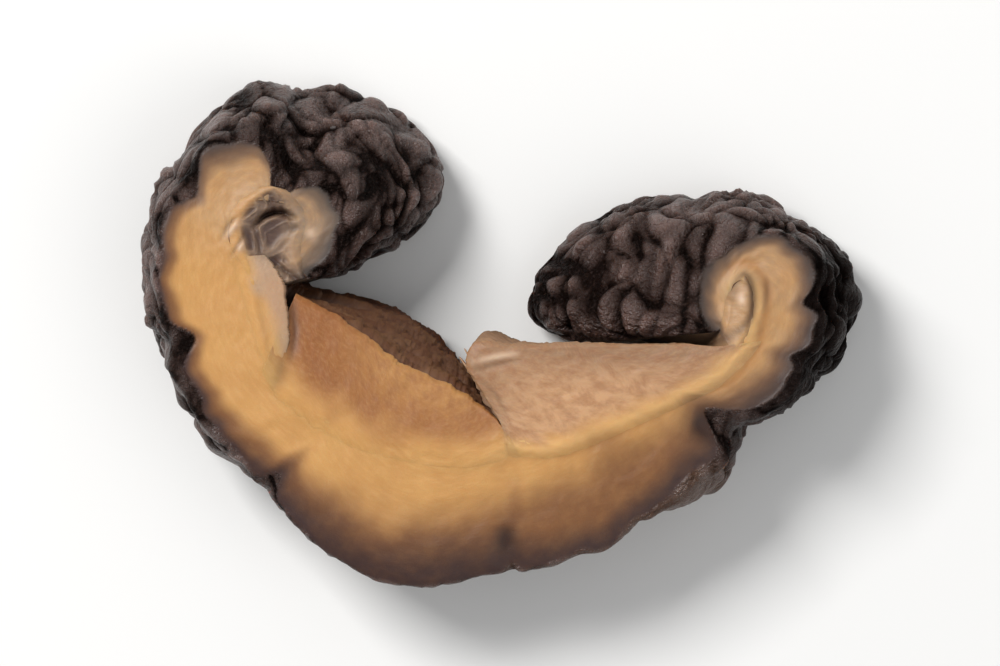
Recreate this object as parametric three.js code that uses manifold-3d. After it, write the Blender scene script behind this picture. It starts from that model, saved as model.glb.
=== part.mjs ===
// A slice of a dried shiitake mushroom, lying on one of its two cut faces.
//
// The knife went down through the cap, so the slice has the outline of the cap's section: a band of
// flesh with the dark skin on its outer side and the gills on its inner side, curled into a C, with
// the cap's margin rolled in at both ends. The upper cut face is the one nearer the middle of the cap.
// The lower one is nearer the cap's edge, where the knife met the rolled margin more aslant, so both
// rolls grow longer and lean inwards on the way down.
//
// Millimetres, +Z up, +X along the slice, +Y towards the open side of the C. The flesh, its skin and
// its gills grew as one piece, so they are one solid.

import * as THREE from "three";
import { mergeVertices } from "three/addons/utils/BufferGeometryUtils.js";
import Module from "manifold-3d";

// Driving dimensions
const THICKNESS = 9; // from one cut face to the other
const EDGE_ROUND = 0.4; // on the four long edges of the band
const COLUMNS = 98; // sections along the band
const GILL_ROOT = 0.9; // how far a gill is sunk into the flesh
const GILL_ROOT_THICKNESS = 0.85;
const GILL_EDGE_THICKNESS = 0.6;
const SMALLEST_EDGE = 0.004; // of the joined solid's triangles

// The upper cut face, in pairs from the tip of the left hook round to the tip of the right roll: a
// point where the skin ends, and the point across the band where the gills begin
const BAND = [
  [[-10.7, 3.7], [-11.4, 3.9]],
  [[-9.0, 5.5], [-12.0, 5.7]],
  [[-8.0, 7.6], [-11.6, 7.0]],
  [[-8.9, 9.8], [-12.2, 8.0]],
  [[-11.2, 11.6], [-13.2, 8.3]],
  [[-13.8, 12.5], [-14.3, 8.3]],
  [[-16.5, 12.0], [-15.2, 7.6]],
  [[-18.7, 10.2], [-15.8, 6.5]],
  [[-19.8, 7.5], [-15.4, 5.3]],
  [[-20.1, 4.3], [-14.5, 3.9]],
  [[-20.0, 0.9], [-13.8, 1.8]],
  [[-18.9, -2.6], [-13.0, -0.6]],
  [[-17.0, -5.6], [-11.9, -3.0]],
  [[-14.3, -8.3], [-9.9, -4.6]],
  [[-11.6, -11.5], [-7.6, -5.7]],
  [[-8.4, -13.8], [-5.2, -6.3]],
  [[-4.5, -14.9], [-2.3, -6.7]],
  [[-0.5, -14.2], [0.3, -6.5]],
  [[3.7, -13.6], [2.9, -6.0]],
  [[7.7, -11.9], [5.3, -5.2]],
  [[11.5, -9.5], [7.7, -4.2]],
  [[14.6, -6.6], [10.3, -3.2]],
  [[17.2, -4.0], [12.8, -2.1]],
  [[19.1, -1.4], [14.6, -0.4]],
  [[19.9, 1.7], [15.3, 1.1]],
  [[19.5, 4.6], [15.4, 2.6]],
  [[17.5, 6.5], [15.0, 3.5]],
  [[14.9, 6.5], [14.6, 3.4]],
  [[12.9, 4.9], [14.3, 2.6]],
  [[12.2, 1.9], [14.3, 1.7]],
  [[13.1, 0.4], [14.0, 0.9]],
];
const LAST = BAND.length - 1;

// How the section grows towards the lower cut face: these shares of the distance from a point are
// added each way, and upwards the share changes between two places along X
const HOOK = {
  from: [-16.9, 3.6],
  left: 0.25,
  right: 0.57,
  down: 0.1,
  up: [0.2, 0.44],
  upBetween: [-18.5, -14.5],
};
const HOOK_FADES = [9, 13]; // pair numbers
const HOOK_TIP = { share: 0.3, ends: 1.6 }; // less growth at the hook's own tip
const ROLL = {
  from: [15.5, 2.9],
  left: 3.0,
  right: 0.55,
  down: 0.3,
  up: [0.88, 0.25],
  upBetween: [14, 18],
};
const ROLL_STARTS = [21.5, 24.5];
const GROWTH_SOFTENING = 0.9;
const MIDDLE_FROM_Y = -4.6;
const MIDDLE_UNDERCUT = 0.15;

// Creases that run down the skin: the pair numbers where each starts at the upper face and ends at the
// lower one, how deep it cuts into the band at each, its half width, and how far its hollow runs in
// over the upper face
const CREASES = [
  { from: 4.1, to: 5.0, depths: [1.5, 1.0], half: 1.5, hollow: 2.3 },
  { from: 7.1, to: 7.0, depths: [0.2, 0.4], half: 1.1, hollow: 1.4 },
  { from: 10.3, to: 10.6, depths: [0.3, 0.6], half: 1.0, hollow: 1.3 },
  { from: 13.2, to: 13.0, depths: [0.4, 0.7], half: 0.6, hollow: 1.2 },
  { from: 17.4, to: 17.2, depths: [0.25, 0.5], half: 0.55, hollow: 0.4 },
  { from: 19.3, to: 19.6, depths: [0.3, 0.5], half: 0.6, hollow: 0.1 },
  { from: 21.3, to: 21.7, depths: [1.2, 0.7], half: 1.0, hollow: 1.4 },
  { from: 23.1, to: 22.8, depths: [0.4, 0.5], half: 0.6, hollow: 0.7 },
  { from: 24.3, to: 24.7, depths: [0.3, 0.6], half: 0.6, hollow: 0.5 },
  { from: 27.2, to: 27.0, depths: [0.3, 0.6], half: 0.8, hollow: 0.1 },
];
const HOLLOW_DEPTH = 0.45; // how deep a hollow is at the skin, as a share of its reach
const HOLLOW_WIDER = 1.15; // than the crease itself
// Folds where the skin bulges out halfway down the wall
const FOLDS = [
  { at: 20.4, out: 1.1, half: 2.4 },
  { at: 12.2, out: 0.4, half: 2.5 },
  { at: 8.6, out: 0.3, half: 2.4 },
];
// Wrinkles of the skin between the creases: height, spacing along the band, spacing down the wall and
// start
const WRINKLES = [
  { height: 0.07, along: 2.9, down: 11, start: 0.4 },
  { height: 0.09, along: 4.7, down: -8, start: 2.1 },
  { height: 0.1, along: 7.9, down: 4.2, start: 4.0 },
];
// Between these pair numbers the wrinkles are only this share as high
const CALM = { starts: [13, 14.5], ends: [16.5, 17.5], share: 0.3 };

// The two cut faces. Between two pair numbers the upper one slopes down to the skin.
const ROLL_OFF = { depth: 0.9, across: 3.2, starts: [10, 13], ends: [20, 23] };
const FACE_SAG = 0.25; // how far the drying flesh has sunk between skin and gills
const HOOK_DROP = 0.5; // how far the upper face drops towards the tip of each end
const ROLL_DROP = 0.4;
const HOOK_LIFT = 0.8; // how far the lower face rises off the ground there
const ROLL_LIFT = 1.0;
const CLEARANCE = 0.35; // under the lower face between the three flat spots that it rests on
const SPOTS = [
  [-17.5, 1.1],
  [-4.3, -9.9],
  [17.2, 0.0],
];
const SPOT_FLAT = 2.0;
const SPOT_EDGE = 3.4;

// Where the stem was cut away a low stub of flesh is left between the two groups of gills
const STUB = { at: 17.5, height: 0.5, half: 2.0 };

// Each gill is a thin plate between the inner side of the band, from one pair number to another, and
// its free edge. Deeper gills lean further out, and bulge past the upper ones round one place along
// the edge. The free edge droops below the root.
const GILL_GROUPS = [
  {
    root: [11.4, 17.6],
    edge: [
      [-11.8, 2.9],
      [-10.6, 2.2],
      [-9.3, 1.5],
      [-7.7, 0.5],
      [-6.3, -0.6],
      [-5.2, -1.4],
      [-3.8, -2.1],
      [-2.3, -2.7],
      [-1.1, -3.5],
      [0.2, -4.6],
      [1.0, -5.7],
    ],
    first: 0.6,
    pitch: 1.25,
    count: 2,
    lean: [0.4, 0.4],
    bulge: { by: [1.2, 1.6], at: 0.5, half: 0.27 },
    droop: 0.5,
    steps: 12,
  },
  {
    root: [8.6, 17.6],
    edge: [
      [-13.6, 5.2],
      [-12.6, 3.6],
      [-11.2, 2.6],
      [-9.3, 1.6],
      [-6.9, 0.0],
      [-5.2, -1.4],
      [-3.4, -2.3],
      [-1.6, -3.2],
      [0.9, -5.5],
    ],
    first: 2.95,
    pitch: 1.45,
    count: 4,
    lean: [0.4, 0.4],
    bulge: { by: [1.2, 1.6], at: 0.58, half: 0.25 },
    droop: 0.6,
    steps: 12,
  },
  {
    root: [17.3, 23.4],
    edge: [
      [0.6, -5.1],
      [-0.4, -3.4],
      [-1.6, -1.3],
      [-0.9, 0.0],
      [1.4, -0.1],
      [4.2, -0.1],
      [7.5, -0.1],
      [10.9, -0.1],
      [13.4, -0.3],
    ],
    first: 0.6,
    pitch: 1.5,
    count: 6,
    lean: [0, -0.7],
    bulge: { by: [0.5, 0.9], at: 0.34, half: 0.18 },
    droop: 0.2,
    steps: 12,
  },
];
const BULGE_REACHED = 0.4; // depth at which a bulge is whole, where 1 is the lower face
const GILL_ACROSS = 2; // from its root to its free edge
const GILL_WAVE = 0.22; // how far a gill waves up and down
const GILL_WAVES = 9; // radians of that wave from end to end
const GILL_TURN = 0.8; // radians by which each gill's wave is ahead of the one above it
// How uneven the free edge is: two waves along it, each turned a little from gill to gill
const RAGGED = { by: 0.3, waves: [17, 29], turns: [2.3, 1.1] };
const EDGE_ENDS = 0.12; // share of its length at each end where the free edge keeps to its line

// Crumpled gills fill the inside of the hook and of the roll. Each filling lies between two stretches
// of the band's inner side, from its open end to its closed one.
const FILLINGS = [
  { one: [9.5, 4.7], other: [0.05, 3.6], below: 0.55, creased: 0.3, folds: 1.5 },
  { one: [22.7, 25.8], other: [30, 26.7], below: 0.25, creased: 0.12, folds: 2 },
];
const FOLD_TURN = 4; // radians by which the folds turn from the open end to the closed one
const FILLING_SUNK = 0.5; // how far it is sunk into the flesh on both sides
const FILLING_LIFT = 0.5; // how far it ends above the lower face
const FILLING_ROWS = { along: 9, across: 8, down: 5 };

// A pale flap of torn gill stands between the flesh and the left gills, with a slit on its far side:
// points on its two sides, from one end to the other
const FLAP = {
  sides: [
    [[-14.9, 4.9], [-13.3, 4.8]],
    [[-14.6, 3.4], [-12.6, 3.5]],
    [[-14.2, 1.7], [-12.25, 1.9]],
    [[-13.9, 0.0], [-12.25, 0.2]],
    [[-13.4, -1.5], [-12.6, -1.4]],
  ],
  top: 8.75,
  bottom: 4.5,
  steps: 8,
};

const FULL_TURN = 2 * Math.PI;
const mix = (a, b, share) => a + (b - a) * share;
const clamp = (value) => Math.min(1, Math.max(0, value));

function smoothStep(from, to, value) {
  const share = clamp((value - from) / (to - from));
  return share * share * (3 - 2 * share);
}

// A smooth stand-in for max(0, value)
function ramp(value) {
  return (value + Math.hypot(value, GROWTH_SOFTENING)) / 2;
}

// Catmull-Rom through a list of points, where at is a place in the list
function along(points, at) {
  const last = points.length - 1;
  const i = Math.min(last - 1, Math.max(0, Math.floor(at)));
  const t = at - i;
  const point = (k) => points[Math.min(last, Math.max(0, k))];
  const [a, b, c, d] = [point(i - 1), point(i), point(i + 1), point(i + 2)];
  return [0, 1].map(
    (k) =>
      0.5 *
      (2 * b[k] +
        (c[k] - a[k]) * t +
        (2 * a[k] - 5 * b[k] + 4 * c[k] - d[k]) * t * t +
        (3 * b[k] - a[k] - 3 * c[k] + d[k]) * t * t * t),
  );
}

const SKIN_SIDE = BAND.map((pair) => pair[0]);
const GILL_SIDE = BAND.map((pair) => pair[1]);

// How far a point moves from the upper cut face to the lower one
function growth([x, y], { from, left, right, up, down, upBetween }) {
  const [rx, ry] = [x - from[0], y - from[1]];
  const upShare = mix(...up, smoothStep(...upBetween, x));
  return [right * ramp(rx) - left * ramp(-rx), upShare * ramp(ry) - down * ramp(-ry)];
}

// Where a point of the upper face's outline lies at a depth from 0, the upper face, to 1, the lower one
function atDepth([x, y], at, depth) {
  const nearHook = 1 - smoothStep(...HOOK_FADES, at);
  const nearRoll = smoothStep(...ROLL_STARTS, at);
  const tip = mix(HOOK_TIP.share, 1, smoothStep(0, HOOK_TIP.ends, at));
  const hook = growth([x, y], HOOK).map((move) => move * nearHook * tip);
  const roll = growth([x, y], ROLL).map((move) => move * nearRoll);
  const middle = -MIDDLE_UNDERCUT * (y - MIDDLE_FROM_Y) * (1 - nearHook - nearRoll);
  const reach = depth * (2 - depth);
  return [x + reach * (hook[0] + roll[0]), y + reach * (hook[1] + roll[1] + middle)];
}

// Length along the skin at the upper face, for sizes that are given in millimetres along it
const SKIN_SAMPLES = 40;
const SKIN_LENGTHS = [0];
for (let i = 1; i <= LAST * SKIN_SAMPLES; i++) {
  const [a, b] = [along(SKIN_SIDE, (i - 1) / SKIN_SAMPLES), along(SKIN_SIDE, i / SKIN_SAMPLES)];
  SKIN_LENGTHS.push(SKIN_LENGTHS[i - 1] + Math.hypot(b[0] - a[0], b[1] - a[1]));
}

function lengthAt(at) {
  const place = clamp(at / LAST) * LAST * SKIN_SAMPLES;
  const i = Math.min(SKIN_LENGTHS.length - 2, Math.floor(place));
  return mix(SKIN_LENGTHS[i], SKIN_LENGTHS[i + 1], place - i);
}

// How far the skin stands in from its smooth outline, less where it stands out
function skinInset(at, depth) {
  const s = lengthAt(at);
  const d = depth * THICKNESS;
  let inset = 0;
  for (const crease of CREASES) {
    const off = (s - lengthAt(mix(crease.from, crease.to, depth))) / crease.half;
    inset += mix(...crease.depths, depth) * Math.exp(-off * off);
  }
  for (const fold of FOLDS) {
    const off = (s - lengthAt(fold.at)) / fold.half;
    inset -= fold.out * Math.sin(Math.PI * depth) * Math.exp(-off * off);
  }
  const calm = smoothStep(...CALM.starts, at) * (1 - smoothStep(...CALM.ends, at));
  const size = mix(1, CALM.share, calm);
  for (const w of WRINKLES)
    inset += size * w.height * Math.sin(FULL_TURN * (s / w.along + d / w.down) + w.start);
  return inset * smoothStep(0, 1.5, at) * smoothStep(0, 1.5, LAST - at);
}

// The skin side, the gill side and the width of the band at a depth
function bandAt(at, depth) {
  const skin = atDepth(along(SKIN_SIDE, at), at, depth);
  const gill = atDepth(along(GILL_SIDE, at), at, depth);
  const full = Math.hypot(gill[0] - skin[0], gill[1] - skin[1]);
  const across = [(gill[0] - skin[0]) / full, (gill[1] - skin[1]) / full];
  const inset = skinInset(at, depth);
  const start = [skin[0] + across[0] * inset, skin[1] + across[1] * inset];
  const off = (lengthAt(at) - lengthAt(STUB.at)) / STUB.half;
  return { start, across, width: full - inset + STUB.height * Math.exp(-off * off), inset };
}

// The upper face, from the number of millimetres in from the skin. The inset is how far the skin
// itself stands in there.
function topHeight(at, inward, width, inset) {
  let hollow = 0;
  for (const crease of CREASES) {
    const off = (lengthAt(at) - lengthAt(crease.from)) / (HOLLOW_WIDER * crease.half);
    hollow += crease.hollow * Math.exp(-off * off);
  }
  const fall = HOLLOW_DEPTH * hollow * clamp(1 - inward / (1 + hollow)) ** 2;
  const sloped = smoothStep(...ROLL_OFF.starts, at) * (1 - smoothStep(...ROLL_OFF.ends, at));
  const slope = clamp(1 - (inward + inset) / ROLL_OFF.across);
  const sag = FACE_SAG * Math.sin(Math.PI * clamp((inward + inset) / (width + inset)));
  const drop = HOOK_DROP * (1 - smoothStep(0, 5, at)) + ROLL_DROP * smoothStep(25, 29, at);
  return THICKNESS - sloped * ROLL_OFF.depth * slope * slope - sag - drop - fall;
}

function bottomHeight(at, x, y) {
  const nearest = Math.min(...SPOTS.map(([sx, sy]) => Math.hypot(x - sx, y - sy)));
  const lift = HOOK_LIFT * (1 - smoothStep(0, 5, at)) + ROLL_LIFT * smoothStep(24.5, 28.5, at);
  return CLEARANCE * smoothStep(SPOT_FLAT, SPOT_EDGE, nearest) + lift;
}

// A point of the band: share of the way across, millimetres down from the upper face, and
// millimetres further in
function bandPoint(at, share, down, further) {
  const depth = down / THICKNESS;
  const { start, across, width, inset } = bandAt(at, depth);
  const inward = share * width + further * Math.min(1, (0.45 * width) / EDGE_ROUND);
  const x = start[0] + across[0] * inward;
  const y = start[1] + across[1] * inward;
  return [x, y, mix(topHeight(at, inward, width, inset), bottomHeight(at, x, y), depth)];
}

// One ring of the band's section, clockwise from the top of the skin: share of the way across,
// millimetres down, and millimetres in from there towards the gills
function ringPlaces() {
  const places = [];
  const corner = EDGE_ROUND * (1 - Math.SQRT1_2);
  const [wallRows, underRows, innerRows, topRows] = [8, 5, 5, 6];
  for (let i = 0; i < wallRows; i++)
    places.push([0, mix(EDGE_ROUND, THICKNESS - EDGE_ROUND, i / (wallRows - 1)), 0]);
  places.push([0, THICKNESS - corner, corner]);
  for (let i = 0; i < underRows; i++) {
    const share = i / (underRows - 1);
    places.push([share, THICKNESS, mix(EDGE_ROUND, -EDGE_ROUND, share)]);
  }
  places.push([1, THICKNESS - corner, -corner]);
  for (let i = 0; i < innerRows; i++)
    places.push([1, mix(THICKNESS - EDGE_ROUND, EDGE_ROUND, i / (innerRows - 1)), 0]);
  places.push([1, corner, -corner]);
  for (let i = 0; i < topRows; i++) {
    const share = 1 - i / (topRows - 1);
    places.push([share, 0, mix(EDGE_ROUND, -EDGE_ROUND, share)]);
  }
  places.push([0, corner, corner]);
  return places;
}

// Pair numbers that are evenly spaced along the middle of the skin's wall
function columnPlaces(count) {
  const fine = 30 * LAST;
  const lengths = [0];
  let before = bandAt(0, 0.5).start;
  for (let i = 1; i <= fine; i++) {
    const now = bandAt((LAST * i) / fine, 0.5).start;
    lengths.push(lengths[i - 1] + Math.hypot(now[0] - before[0], now[1] - before[1]));
    before = now;
  }
  const places = [];
  let i = 0;
  for (let k = 0; k < count; k++) {
    const wanted = (lengths[fine] * k) / (count - 1);
    while (i < fine - 1 && lengths[i + 1] < wanted) i++;
    const share = clamp((wanted - lengths[i]) / (lengths[i + 1] - lengths[i]));
    places.push((LAST * (i + share)) / fine);
  }
  return places;
}

// A closed surface from rings of points, each ring closed and both ends capped from their middles
function tubeGeometry(rings) {
  const size = rings[0].length;
  const points = rings.flat();
  const faces = [];
  for (let c = 0; c + 1 < rings.length; c++)
    for (let r = 0; r < size; r++) {
      const [a, b] = [c * size + r, c * size + ((r + 1) % size)];
      faces.push(a, b, b + size, a, b + size, a + size);
    }
  for (const [ring, first, turned] of [
    [rings[0], 0, true],
    [rings[rings.length - 1], (rings.length - 1) * size, false],
  ]) {
    const middle = points.length;
    points.push([0, 1, 2].map((k) => ring.reduce((sum, p) => sum + p[k], 0) / size));
    for (let r = 0; r < size; r++) {
      const [a, b] = [first + r, first + ((r + 1) % size)];
      faces.push(middle, turned ? b : a, turned ? a : b);
    }
  }
  const geometry = new THREE.BufferGeometry();
  geometry.setAttribute("position", new THREE.Float32BufferAttribute(points.flat(), 3));
  geometry.setIndex(faces);
  return geometry;
}

function bandGeometry() {
  const ring = ringPlaces();
  const sectionAt = (at) => ring.map((place) => bandPoint(at, ...place));
  return tubeGeometry(columnPlaces(COLUMNS).map(sectionAt));
}

// The free edge of gill k of a group at a share t of the way along it
function freeEdge(group, k, depth, t) {
  const ends = smoothStep(0, EDGE_ENDS, t) * smoothStep(0, EDGE_ENDS, 1 - t);
  const [coarse, fine] = RAGGED.waves.map((wave, i) => wave * t + RAGGED.turns[i] * k ** (i + 1));
  const ragged = RAGGED.by * Math.sin(coarse) * Math.cos(fine);
  const { by, at, half } = group.bulge;
  const bulge = smoothStep(0, BULGE_REACHED, depth) * Math.exp(-(((t - at) / half) ** 2));
  const edge = along(group.edge, t * (group.edge.length - 1));
  const moved = (axis) => depth * group.lean[axis] + bulge * by[axis] + ragged;
  return edge.map((value, axis) => value + ends * moved(axis));
}

// Gill k of a group, from the top
function gillGeometry(group, k) {
  const depth = (group.first + k * group.pitch) / THICKNESS;
  const rings = [];
  for (let i = 0; i <= group.steps; i++) {
    const t = i / group.steps;
    const at = mix(...group.root, t);
    const { start, across, width } = bandAt(at, depth);
    const rootIn = Math.max(0.3 * width, width - GILL_ROOT);
    const root = [start[0] + across[0] * rootIn, start[1] + across[1] * rootIn];
    const tip = freeEdge(group, k, depth, t);
    const place = (share, side) => {
      const [x, y] = [mix(root[0], tip[0], share), mix(root[1], tip[1], share)];
      const middle = mix(topHeight(at, width, width, 0), bottomHeight(at, x, y), depth);
      const wave = GILL_WAVE * Math.min(1, k) * Math.sin(GILL_WAVES * t + GILL_TURN * k);
      const thick = mix(GILL_ROOT_THICKNESS, GILL_EDGE_THICKNESS, share);
      return [x, y, middle + share * (wave - group.droop) + 0.5 * side * thick];
    };
    const ring = [];
    for (let j = 0; j <= GILL_ACROSS; j++) ring.push(place(j / GILL_ACROSS, 1));
    for (let j = GILL_ACROSS; j >= 0; j--) ring.push(place(j / GILL_ACROSS, -1));
    rings.push(ring);
  }
  return tubeGeometry(rings);
}

// A point of the band's inner side, a little way into the flesh
function innerSide(at, depth) {
  const { start, across, width } = bandAt(at, depth);
  const inward = width - Math.min(FILLING_SUNK, 0.4 * width);
  return [start[0] + across[0] * inward, start[1] + across[1] * inward];
}

function fillingGeometry({ one, other, below, creased, folds }) {
  const { along: steps, across: columns, down: rows } = FILLING_ROWS;
  const rings = [];
  for (let i = 0; i <= steps; i++) {
    const t = i / steps;
    const places = [mix(...one, t), mix(...other, t)];
    const place = (share, depth) => {
      const [a, b] = places.map((at) => innerSide(at, depth));
      const [x, y] = [mix(a[0], b[0], share), mix(a[1], b[1], share)];
      const fold = Math.sin(FULL_TURN * folds * share + FOLD_TURN * t) * Math.sin(Math.PI * share);
      const high = THICKNESS - HOOK_DROP * share - below + creased * fold;
      return [x, y, mix(high, FILLING_LIFT + HOOK_LIFT * share, depth)];
    };
    const ring = [];
    for (let j = 0; j < columns; j++) ring.push(place(j / columns, 0));
    for (let j = 0; j < rows; j++) ring.push(place(1, j / rows));
    for (let j = 0; j < columns; j++) ring.push(place(1 - j / columns, 1));
    for (let j = 0; j < rows; j++) ring.push(place(0, 1 - j / rows));
    rings.push(ring);
  }
  return tubeGeometry(rings);
}

function flapGeometry() {
  const [left, right] = [0, 1].map((side) => FLAP.sides.map((pair) => pair[side]));
  const rings = [];
  for (let i = 0; i <= FLAP.steps; i++) {
    const at = (i / FLAP.steps) * (left.length - 1);
    const [a, b] = [along(left, at), along(right, at)];
    rings.push([
      [...a, FLAP.bottom],
      [...b, FLAP.bottom],
      [...b, FLAP.top],
      [...a, FLAP.top],
    ]);
  }
  return tubeGeometry(rings);
}

const wasm = await Module();
wasm.setup();

// A geometry as a solid whose faces point out
function solidOf(geometry) {
  const bare = new THREE.BufferGeometry();
  bare.setAttribute("position", geometry.getAttribute("position"));
  bare.setIndex(geometry.getIndex());
  const merged = mergeVertices(bare, 1e-4);
  const triVerts = new Uint32Array(merged.index.array);
  const made = () =>
    new wasm.Manifold(
      new wasm.Mesh({ numProp: 3, vertProperties: merged.attributes.position.array, triVerts }),
    );
  const solid = made();
  if (solid.volume() > 0) return solid;
  for (let i = 0; i < triVerts.length; i += 3)
    [triVerts[i + 1], triVerts[i + 2]] = [triVerts[i + 2], triVerts[i + 1]];
  return made();
}

// The outer surface alone, which fills the pockets that the gills close off between them
function withoutPockets(solid) {
  const larger = (one, other) => (other.volume() > one.volume() ? other : one);
  return solid.decompose().reduce(larger);
}

function geometryOf(solid) {
  const mesh = solid.getMesh();
  const geometry = new THREE.BufferGeometry();
  geometry.setAttribute("position", new THREE.BufferAttribute(mesh.vertProperties, mesh.numProp));
  geometry.setIndex(new THREE.BufferAttribute(mesh.triVerts, 1));
  geometry.computeVertexNormals();
  return geometry;
}

function sliceGeometry() {
  const pieces = [bandGeometry(), flapGeometry(), ...FILLINGS.map(fillingGeometry)];
  for (const group of GILL_GROUPS)
    for (let k = 0; k < group.count; k++) pieces.push(gillGeometry(group, k));
  const whole = pieces.map(solidOf).reduce((sum, piece) => sum.add(piece));
  const geometry = geometryOf(withoutPockets(whole).simplify(SMALLEST_EDGE));
  geometry.computeBoundingBox();
  const { min, max } = geometry.boundingBox;
  return geometry.translate(-(min.x + max.x) / 2, -(min.y + max.y) / 2, -min.z);
}

const flesh = new THREE.MeshStandardMaterial({ color: 0xcf9f66, roughness: 0.55, metalness: 0 });

const slice = new THREE.Mesh(sliceGeometry(), flesh);
slice.name = "shiitake_slice";

const part = new THREE.Group();
part.name = "dried_shiitake_slice";
part.add(slice);

export default part;
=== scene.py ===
"""Looks of a slice of dried shiitake mushroom, lying on one of its two cut faces.

The body is built from the same outline as the solid it replaces, with far more columns and rows, and then
gets the wrinkles of the skin and the fine relief of the cut flesh. The gills are thin plates of their own,
rooted in the body. Lengths are in millimetres until a mesh is made.
"""

import itertools
import math

import bpy
import numpy as np
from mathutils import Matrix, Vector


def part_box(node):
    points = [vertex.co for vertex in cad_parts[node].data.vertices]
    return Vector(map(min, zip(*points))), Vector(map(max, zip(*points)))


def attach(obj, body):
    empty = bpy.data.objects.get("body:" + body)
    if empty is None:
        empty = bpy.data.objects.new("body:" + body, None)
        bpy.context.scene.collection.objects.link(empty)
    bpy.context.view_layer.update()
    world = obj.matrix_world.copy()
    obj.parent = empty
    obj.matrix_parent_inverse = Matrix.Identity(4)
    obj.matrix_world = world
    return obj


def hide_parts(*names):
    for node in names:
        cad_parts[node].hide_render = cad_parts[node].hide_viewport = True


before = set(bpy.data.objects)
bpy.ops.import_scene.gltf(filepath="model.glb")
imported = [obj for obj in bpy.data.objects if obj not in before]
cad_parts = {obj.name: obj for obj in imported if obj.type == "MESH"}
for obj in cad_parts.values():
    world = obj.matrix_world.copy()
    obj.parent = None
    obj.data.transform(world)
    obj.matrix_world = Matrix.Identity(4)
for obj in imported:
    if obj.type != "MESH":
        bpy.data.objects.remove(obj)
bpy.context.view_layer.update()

MM = 0.001
NODE = "shiitake_slice"

# Shape of the slice, as in the solid
THICKNESS = 9
EDGE_ROUND = 0.4
# The upper cut face, from the tip of the left hook round to the tip of the right roll. Each pair is a point
# where the skin ends and the one across the band where the gills begin. Pair numbers are places along it.
BAND = np.array([
    (-10.7, 3.7, -11.4, 3.9), (-9.0, 5.5, -12.0, 5.7), (-8.0, 7.6, -11.6, 7.0),
    (-8.9, 9.8, -12.2, 8.0), (-11.2, 11.6, -13.2, 8.3), (-13.8, 12.5, -14.3, 8.3),
    (-16.5, 12.0, -15.2, 7.6), (-18.7, 10.2, -15.8, 6.5), (-19.8, 7.5, -15.4, 5.3),
    (-20.1, 4.3, -14.5, 3.9), (-20.0, 0.9, -13.8, 1.8), (-18.9, -2.6, -13.0, -0.6),
    (-17.0, -5.6, -11.9, -3.0), (-14.3, -8.3, -9.9, -4.6), (-11.6, -11.5, -7.6, -5.7),
    (-8.4, -13.8, -5.2, -6.3), (-4.5, -14.9, -2.3, -6.7), (-0.5, -14.2, 0.3, -6.5),
    (3.7, -13.6, 2.9, -6.0), (7.7, -11.9, 5.3, -5.2), (11.5, -9.5, 7.7, -4.2),
    (14.6, -6.6, 10.3, -3.2), (17.2, -4.0, 12.8, -2.1), (19.1, -1.4, 14.6, -0.4),
    (19.9, 1.7, 15.3, 1.1), (19.5, 4.6, 15.4, 2.6), (17.5, 6.5, 15.0, 3.5),
    (14.9, 6.5, 14.6, 3.4), (12.9, 4.9, 14.3, 2.6), (12.2, 1.9, 14.3, 1.7),
    (13.1, 0.4, 14.0, 0.9),
]).reshape(-1, 2, 2)
LAST = len(BAND) - 1

# Growth towards the lower cut face: these shares of the distance from a point are added each way. Up, along
# +Y, the share changes between two places along X.
HOOK = {
    "from": (-16.9, 3.6), "left": 0.25, "right": 0.57, "down": 0.1,
    "up": (0.2, 0.44), "up_between": (-18.5, -14.5),
}
HOOK_FADES = (9, 13)
HOOK_TIP_SHARE, HOOK_TIP_ENDS = 0.3, 1.6  # less growth at the hook's own tip
ROLL = {
    "from": (15.5, 2.9), "left": 3.0, "right": 0.55, "down": 0.3,
    "up": (0.88, 0.25), "up_between": (14, 18),
}
ROLL_STARTS = (21.5, 24.5)
GROWTH_SOFTENING = 0.9
MIDDLE_FROM_Y = -4.6
MIDDLE_UNDERCUT = 0.15

# Creases down the skin: pair numbers at the upper and lower face, depths there, half width, and how far the
# crease's hollow runs in over the upper face
CREASES = (
    (4.1, 5.0, 1.5, 1.0, 1.5, 2.3),
    (7.1, 7.0, 0.2, 0.4, 1.1, 1.4),
    (10.3, 10.6, 0.3, 0.6, 1.0, 1.3),
    (13.2, 13.0, 0.4, 0.7, 0.6, 1.2),
    (17.4, 17.2, 0.25, 0.5, 0.55, 0.4),
    (19.3, 19.6, 0.3, 0.5, 0.6, 0.1),
    (21.3, 21.7, 1.2, 0.7, 1.0, 1.4),
    (23.1, 22.8, 0.4, 0.5, 0.6, 0.7),
    (24.3, 24.7, 0.3, 0.6, 0.6, 0.5),
    (27.2, 27.0, 0.3, 0.6, 0.8, 0.1),
)
HOLLOW_DEPTH = 0.45  # at the skin, as a share of the hollow's reach
HOLLOW_WIDER = 1.15  # than the crease itself
# Folds that bulge out halfway down: pair number, how far, half width
FOLDS = ((20.4, 1.1, 2.4), (12.2, 0.4, 2.5), (8.6, 0.3, 2.4))
# Broad wrinkles: height, spacing along the band, spacing down the wall, start
WRINKLES = ((0.07, 2.9, 11, 0.4), (0.09, 4.7, -8, 2.1), (0.1, 7.9, 4.2, 4.0))
CALM_BETWEEN, CALM_SHARE = ((13, 14.5), (16.5, 17.5)), 0.3  # where they are only this share as high
SKIN_FADES = 1.5  # pair numbers over which the skin turns smooth at both tips

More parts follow.
